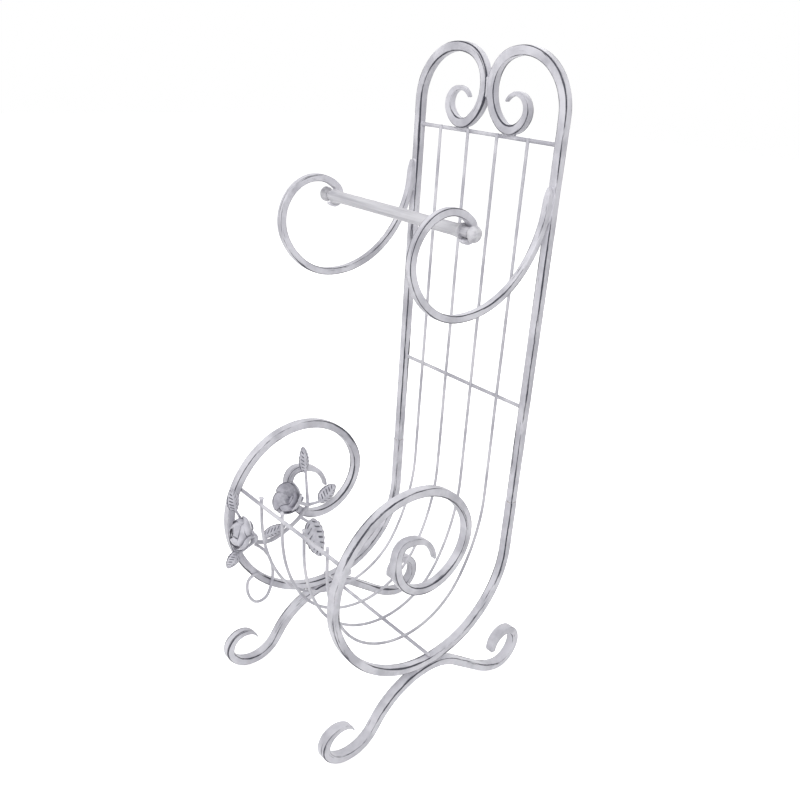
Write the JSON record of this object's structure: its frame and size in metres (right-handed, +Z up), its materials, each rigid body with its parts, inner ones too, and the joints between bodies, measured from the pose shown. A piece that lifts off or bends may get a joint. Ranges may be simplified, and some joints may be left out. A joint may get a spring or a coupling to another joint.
{
  "type": "freestanding toilet roll storage holder",
  "caption": "Free-standing scrolled metal holder with a lift-out rod on ring arms, a deep wire basket for spare rolls, scrolled feet, and a vine with leaves and roses.",
  "frame": {"origin": "on the floor, at the centre of the part's footprint: midway between the side planes and midway along the feet", "axes": "+X to the user's right when facing the front, -Y to the front, where the basket opens and the arms reach, +Z up"},
  "size_m": [0.2012, 0.27, 0.617],
  "materials": {
    "paint_frame": "satin white paint, rubbed through to dark metal along the edges",
    "paint_rod": "satin white paint, rubbed through to dark metal along the edges",
    "paint_wire": "satin white paint, rubbed through to dark metal along the edges",
    "paint_vine": "satin white paint, rubbed through to dark metal along the edges",
    "paint_rose": "satin white paint, rubbed through to dark metal along the edges",
    "paint_leaf": "satin white paint, rubbed through to dark metal along the edges"
  },
  "bodies": {
    "stand": {"upright_left": "paint_frame", "upright_right": "paint_frame", "spiral_left": "paint_frame", "spiral_right": "paint_frame", "foot_left": "paint_frame", "foot_right": "paint_frame", "arm_left": "paint_frame", "arm_right": "paint_frame", "crossbar_top": "paint_wire", "crossbar_mid": "paint_wire", "crossbar_low": "paint_wire", "crossbar_front": "paint_wire", "wire_a": "paint_wire", "wire_b": "paint_wire", "wire_c": "paint_wire", "wire_d": "paint_wire", "vine_stem": "paint_vine", "tendril": "paint_vine", "rose_low_outer": "paint_rose", "rose_low_inner": "paint_rose", "rose_low_calyx": "paint_rose", "rose_high_outer": "paint_rose", "rose_high_inner": "paint_rose", "rose_high_calyx": "paint_rose", "leaf_a": "paint_leaf", "leaf_b": "paint_leaf", "leaf_c": "paint_leaf", "leaf_d": "paint_leaf", "leaf_e": "paint_leaf", "leaf_f": "paint_leaf"},
    "rod": {"rod_shaft": "paint_rod", "ball_left": "paint_rod", "ball_right": "paint_rod"}
  },
  "joints": [
    {"name": "rod_lift", "type": "slide", "parent": "stand", "child": "rod", "axis": [0, -0.9063, 0.4226], "range_m": [0, 0.018]}
  ]
}
